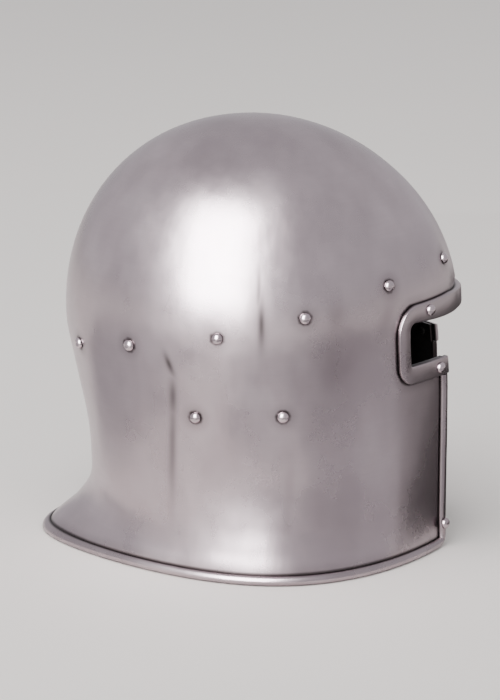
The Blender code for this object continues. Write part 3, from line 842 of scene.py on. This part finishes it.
def paint(name, colour):
    """A matt, faintly clouded paint."""
    material, tree, shader, place = new_material(name)
    cloud = noise(tree, place, **PAINT_CLOUDS)
    tree.links.new(mixed(tree, cloud, shade(colour, PAINT_SHADE), colour), shader.inputs["Base Color"])
    shader.inputs["Roughness"].default_value = PAINT_ROUGHNESS
    return material


def crease_points():
    """Points on the middles of what lies on the bowl, each with the half width that covers it."""
    points = []
    for first, second, keel in trim_stations() + cheek_strip_pairs() + rim_strip_pairs():
        edge, crease = skin(*first), skin(*second)
        points.append(((edge + crease) / 2, (crease - edge).length / 2))
    for kind, number, turn, height, seat in rivet_places():
        points.append((skin(turn, height), sizes().head_radius))
    move = shift()
    return [(mirrored(point, side) + move, half) for point, half in points for side in (1, -1)]


def add_creases(mesh):
    """Writes each vertex's distance from the nearest edge of what lies on the bowl."""
    points = crease_points()
    tree = KDTree(len(points))
    for k, (place, half) in enumerate(points):
        tree.insert(place, k)
    tree.balance()
    attribute = mesh.attributes.new("crease", "FLOAT", "POINT")
    for vertex in mesh.vertices:
        found = tree.find_n(vertex.co, NEAREST_EDGES)
        away = min(distance - points[k][1] for place, k, distance in found)
        attribute.data[vertex.index].value = max(away, 0.0)


def face_plug():
    """A plug through the face opening, square to the skin all along the edge."""
    right = opening_outline()
    outline = right + [(-turn, height) for turn, height in reversed(right[1:-1])]
    middle = (EYE_TOP + EYE_FLOOR_REAR) / 2
    bm = bmesh.new()
    outer = [bm.verts.new(lifted(turn, height, PLUG_DEPTH)) for turn, height in outline]
    inner = [bm.verts.new(lifted(turn, height, -PLUG_DEPTH)) for turn, height in outline]
    ahead = bm.verts.new((0.0, -2 * BROW_REACH, middle))
    within = bm.verts.new((0.0, -BROW_REACH / 4, middle))
    for k in range(len(outline)):
        n = (k + 1) % len(outline)
        bm.faces.new((outer[k], outer[n], inner[n], inner[k]))
        bm.faces.new((ahead, outer[n], outer[k]))
        bm.faces.new((within, inner[k], inner[n]))
    return plain_object("face_plug", mesh_of("face_plug", bm), ())


class BARBUTE_OT_bowl(bpy.types.Operator):
    """Raise the bowl: its fine skin, its thickness and its face opening"""

    bl_idname = "barbute.bowl"
    bl_label = "Bowl"

    def execute(self, context):
        floor = STRIP_LIP + GAP
        rise = BROW_HEIGHT - floor
        levels = [floor + rise * share**WALL_ROW_CROWDING for share in steps(0.0, 1.0, WALL_ROWS)]
        for share in steps(0.0, 1.0, DOME_ROWS)[1:-1]:
            levels.append(BROW_HEIGHT + (HEIGHT - BROW_HEIGHT) * math.sin(share * math.pi / 2))
        bm = bmesh.new()
        turns = [2 * math.pi * k / COLUMNS for k in range(COLUMNS)]
        rings = [[bm.verts.new(ridged(turn, height)) for turn in turns] for height in levels]
        for lower, upper in zip(rings, rings[1:]):
            for k in range(COLUMNS):
                n = (k + 1) % COLUMNS
                bm.faces.new((lower[k], lower[n], upper[n], upper[k]))
        crown = bm.verts.new((0.0, 0.0, HEIGHT))
        for k in range(COLUMNS):
            bm.faces.new((rings[-1][k], rings[-1][(k + 1) % COLUMNS], crown))
        materials = (steel("bowl_steel", dark_reflections=DARK_REFLECTIONS), shaded("bowl_inside"))
        item = plain_object("bowl", mesh_of("bowl", bm), materials)
        wall = item.modifiers.new("Sheet", "SOLIDIFY")
        wall.thickness = sizes().sheet
        wall.offset = -1.0
        wall.use_even_offset = True
        # The inner skin takes the painted shade of the inside
        wall.material_offset = 1
        plug = face_plug()
        cut = item.modifiers.new("Face", "BOOLEAN")
        cut.operation = "DIFFERENCE"
        cut.solver = "EXACT"
        cut.object = plug
        mesh = applied(item)
        bpy.data.objects.remove(plug)
        mesh.shade_smooth()
        mesh.set_sharp_from_angle(angle=SHARP_EDGE)
        # Distances for the painted shade in the creases
        add_creases(mesh)
        steel_piece(item, ["helmet_bowl"])
        return {"FINISHED"}


class BARBUTE_OT_trim(bpy.types.Operator):
    """Lay the riveted band round the eyes and across the brow"""

    bl_idname = "barbute.trim"
    bl_label = "Eye trim"

    def execute(self, context):
        bm = bmesh.new()
        for side in (1, -1):
            moulding(bm, trim_stations(), trim_profile, (False, True), side)
        material = steel("trim_steel", tint=0.92, waves=0.6)
        item = plain_object("trim", mesh_of("trim", bm), (material, shaded("trim_inside")))
        steel_piece(item, ["eye_trim"])
        return {"FINISHED"}


class BARBUTE_OT_strips(bpy.types.Operator):
    """Lay the half-round strips along the cheeks and the rim"""

    bl_idname = "barbute.strips"
    bl_label = "Edge strips"

    def execute(self, context):
        materials = (steel("strip_steel", tint=0.92, waves=0.4), shaded("strip_inside"))
        for side, word in ((1, "right"), (-1, "left")):
            bm = bmesh.new()
            moulding(bm, cheek_strip_pairs(), strip_profile, (True, True), side)
            item = plain_object(f"cheek_edge_{word}", mesh_of("cheek_edge", bm), materials)
            steel_piece(item, [f"cheek_strip_{word}"])
        bm = bmesh.new()
        for side in (1, -1):
            moulding(bm, rim_strip_pairs(), strip_profile, (True, False), side)
        item = plain_object("rim_edge", mesh_of("rim_edge", bm), materials)
        steel_piece(item, ["rim_strip"])
        return {"FINISHED"}


def rivet_tree(material):
    """A node tree that sets a rivet's head and its peened end at each point."""
    tree = bpy.data.node_groups.new("Rivets", "GeometryNodeTree")
    face = tree.interface
    face.new_socket("Geometry", in_out="INPUT", socket_type="NodeSocketGeometry")
    for name in ("Head radius", "Head height", "Tail radius", "Tail height", "Tail depth"):
        face.new_socket(name, in_out="INPUT", socket_type="NodeSocketFloat")
    face.new_socket("Sides", in_out="INPUT", socket_type="NodeSocketInt")
    face.new_socket("Geometry", in_out="OUTPUT", socket_type="NodeSocketGeometry")
    given = tree.nodes.new("NodeGroupInput").outputs

    def result(kind, links, **settings):
        """The first output of a node."""
        return node(tree, kind, links, **settings).outputs[0]

    def attribute(name, kind):
        """A value that each point holds."""
        return result("GeometryNodeInputNamedAttribute", {"Name": name}, data_type=kind)

    def dome(radius, height, rings):
        """A dome with a flat foot at the origin: a tube whose rings close towards the top."""
        tube = node(
            tree, "GeometryNodeMeshCylinder",
            {"Vertices": given["Sides"], "Side Segments": rings, "Radius": 1.0, "Depth": 1.0},
        )
        position = node(tree, "GeometryNodeInputPosition").outputs[0]
        across, along, up = node(tree, "ShaderNodeSeparateXYZ", {0: position}).outputs
        angle = maths(tree, "MULTIPLY", maths(tree, "ADD", up, 0.5), math.pi / 2)
        wide = maths(tree, "MULTIPLY", maths(tree, "COSINE", angle), radius)
        place = node(
            tree, "ShaderNodeCombineXYZ",
            {
                0: maths(tree, "MULTIPLY", across, wide),
                1: maths(tree, "MULTIPLY", along, wide),
                2: maths(tree, "MULTIPLY", maths(tree, "SINE", angle), height),
            },
        )
        moved = result(
            "GeometryNodeSetPosition", {"Geometry": tube.outputs[0], "Position": place.outputs[0]}
        )
        return result("GeometryNodeMergeByDistance", {"Geometry": moved, "Distance": MERGE})

    def set_out(shape, distance, flip):
        """Copies of a shape on every point, a distance out along the point's own axis."""
        axis = attribute("axis", "FLOAT_VECTOR")
        away = result("ShaderNodeVectorMath", {0: axis, "Scale": distance}, operation="SCALE")
        points = result("GeometryNodeSetPosition", {"Geometry": given["Geometry"], "Offset": away})
        look = result("ShaderNodeVectorMath", {0: axis, "Scale": flip}, operation="SCALE")
        turned = result("FunctionNodeAlignRotationToVector", {"Vector": look}, axis="Z")
        return result(
            "GeometryNodeInstanceOnPoints", {"Points": points, "Instance": shape, "Rotation": turned}
        )

    head = dome(given["Head radius"], given["Head height"], HEAD_RINGS)
    tail = dome(given["Tail radius"], given["Tail height"], TAIL_RINGS)
    heads = set_out(head, attribute("seat", "FLOAT"), 1.0)
    tails = set_out(tail, maths(tree, "MULTIPLY", given["Tail depth"], -1.0), -1.0)
    joined = tree.nodes.new("GeometryNodeJoinGeometry")
    tree.links.new(tails, joined.inputs[0])
    tree.links.new(heads, joined.inputs[0])
    smooth = result("GeometryNodeSetShadeSmooth", {"Geometry": joined.outputs[0]})
    real = result("GeometryNodeRealizeInstances", {"Geometry": smooth})
    finished = result("GeometryNodeSetMaterial", {"Geometry": real, "Material": material})
    tree.links.new(finished, tree.nodes.new("NodeGroupOutput").inputs[0])
    return tree


class BARBUTE_OT_rivets(bpy.types.Operator):
    """Set the domed rivets and their peened ends"""

    bl_idname = "barbute.rivets"
    bl_label = "Rivets"

    def execute(self, context):
        rows = []
        names = []
        for kind, number, turn, height, seat in rivet_places():
            for side, word in ((1, "right"), (-1, "left")):
                point = mirrored(skin(turn, height), side) + shift()
                axis = mirrored(outward(turn, height), side)
                rows.append({"point": point, "axis": axis, "seat": seat + GAP})
                names.append(f"{kind}_{word}{number}")
        mesh = bpy.data.meshes.new("rivets")
        mesh.from_pydata([row["point"] for row in rows], [], [])
        axes = mesh.attributes.new("axis", "FLOAT_VECTOR", "POINT")
        for value, row in zip(axes.data, rows):
            value.vector = row["axis"]
        seats = mesh.attributes.new("seat", "FLOAT", "POINT")
        for value, row in zip(seats.data, rows):
            value.value = row["seat"]
        material = steel("rivet_steel", tint=1.10, dullness=-0.06, waves=0.0, creases=False)
        item = plain_object("rivets", mesh, ())
        tree = rivet_tree(material)
        modifier = item.modifiers.new("Rivets", "NODES")
        modifier.node_group = tree
        values = {
            "Head radius": sizes().head_radius,
            "Head height": HEAD_HEIGHT,
            "Tail radius": TAIL_RADIUS,
            "Tail height": TAIL_HEIGHT,
            "Tail depth": sizes().sheet + TAIL_GAP,
            "Sides": sizes().head_sides,
        }
        for socket in tree.interface.items_tree:
            if socket.in_out == "INPUT" and socket.name in values:
                modifier[socket.identifier] = values[socket.name]
        mesh = applied(item)
        mesh.set_sharp_from_angle(angle=SHARP_EDGE)
        mesh.materials.clear()
        for finished in (material, shaded("rivet_inside")):
            mesh.materials.append(finished)
        # Painted shade on the peened ends that face into the helmet
        for face in mesh.polygons:
            row = min(rows, key=lambda row: (row["point"] - face.center).length)
            face.material_index = int((face.center - row["point"]).dot(row["axis"]) < 0.0)
        steel_piece(item, names)
        return {"FINISHED"}


def aimed(name, data, aim, back, distance):
    """A lamp or camera that looks at a point from a distance back along a direction."""
    item = bpy.data.objects.new(name, data)
    item.location = aim + back * distance
    item.rotation_mode = "QUATERNION"
    item.rotation_quaternion = (-back).to_track_quat("-Z", "Y")
    bpy.context.scene.collection.objects.link(item)
    return item


def direction(turn, elevation):
    """A direction from its turn, from the camera's side to the nape, and its elevation."""
    level = math.cos(elevation)
    return Vector((-math.cos(turn) * level, math.sin(turn) * level, math.sin(elevation)))


def softbox(name, turn, rise, away, size, power, matt):
    """A softbox that faces the helmet, and lights matt surfaces or shows in reflections."""
    light = bpy.data.lights.new(name, "AREA")
    light.shape = "RECTANGLE"
    light.size, light.size_y = size
    light.energy = power
    light.color = LIGHT_COLOUR
    back = direction(math.radians(turn), math.radians(rise))
    item = aimed(name, light, Vector((0.0, 0.0, CAMERA_AIM_HEIGHT)), back, away)
    item.visible_diffuse = matt
    item.visible_glossy = not matt


def card(name, low, high, colour):
    """A card on the floor that only the steel's reflections see."""
    bm = bmesh.new()
    corners = ((low[0], low[1]), (high[0], low[1]), (high[0], high[1]), (low[0], high[1]))
    bm.faces.new([bm.verts.new((x, y, CARD_LIFT)) for x, y in corners])
    mesh = bpy.data.meshes.new(name)
    bm.to_mesh(mesh)
    bm.free()
    item = plain_object(name, mesh, (paint(name, colour),))
    item.visible_camera = False
    item.visible_diffuse = False
    item.visible_shadow = False


class BARBUTE_OT_stage(bpy.types.Operator):
    """Set up the floor, the soft light and the camera"""

    bl_idname = "barbute.stage"
    bl_label = "Stage"

    def execute(self, context):
        bm = bmesh.new()
        bmesh.ops.create_circle(bm, cap_ends=True, segments=FLOOR_SIDES, radius=FLOOR_RADIUS)
        mesh = bpy.data.meshes.new("floor")
        bm.to_mesh(mesh)
        bm.free()
        floor = plain_object("floor", mesh, (paint("floor_paint", tuple(finish().floor)),))
        world = bpy.data.worlds.new("studio")
        world.use_nodes = True
        air = world.node_tree.nodes["Background"]
        air.inputs["Color"].default_value = AIR_COLOUR
        air.inputs["Strength"].default_value = AIR_STRENGTH
        context.scene.world = world
        for row in LIGHTS:
            softbox(**row)
        for row in CARDS:
            card(**row)
        camera = bpy.data.cameras.new("camera")
        camera.lens = CAMERA_LENS
        camera.sensor_width = CAMERA_SENSOR
        camera.shift_x = (FRAME_WIDE / 2 - AIM_ACROSS) / FRAME_TALL
        camera.shift_y = (AIM_DOWN - FRAME_TALL / 2) / FRAME_TALL
        aim = shift() + Vector((0.0, 0.0, CAMERA_AIM_HEIGHT))
        back = direction(-CAMERA_TURN, CAMERA_ELEVATION)
        context.scene.camera = aimed("camera", camera, aim, back, CAMERA_DISTANCE)
        return {"FINISHED"}


class BARBUTE_PT_panel(bpy.types.Panel):
    """Lists the helmet's sizes, colours and pieces"""

    bl_label = "Barbute"
    bl_space_type = "VIEW_3D"
    bl_region_type = "UI"
    bl_category = "Barbute"

    def draw(self, context):
        for group in (context.scene.barbute_sizes, context.scene.barbute_finish):
            for name in group.bl_rna.properties.keys():
                if name not in ("rna_type", "name"):
                    self.layout.prop(group, name)
        for operator in PIECES:
            self.layout.operator(operator.bl_idname)


PIECES = (
    BARBUTE_OT_bowl,
    BARBUTE_OT_trim,
    BARBUTE_OT_strips,
    BARBUTE_OT_rivets,
    BARBUTE_OT_stage,
)


def register():
    """Registers the add-on's classes and its settings."""
    for kind in (BarbuteSizes, BarbuteFinish, *PIECES, BARBUTE_PT_panel):
        bpy.utils.register_class(kind)
    bpy.types.Scene.barbute_sizes = bpy.props.PointerProperty(type=BarbuteSizes)
    bpy.types.Scene.barbute_finish = bpy.props.PointerProperty(type=BarbuteFinish)


def unregister():
    """Removes the settings and the add-on's classes."""
    del bpy.types.Scene.barbute_finish
    del bpy.types.Scene.barbute_sizes
    for kind in (BARBUTE_PT_panel, *reversed(PIECES), BarbuteFinish, BarbuteSizes):
        bpy.utils.unregister_class(kind)


def main():
    """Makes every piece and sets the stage."""
    register()
    bpy.ops.barbute.bowl()
    bpy.ops.barbute.trim()
    bpy.ops.barbute.strips()
    bpy.ops.barbute.rivets()
    bpy.ops.barbute.stage()


if __name__ == "__main__":
    main()
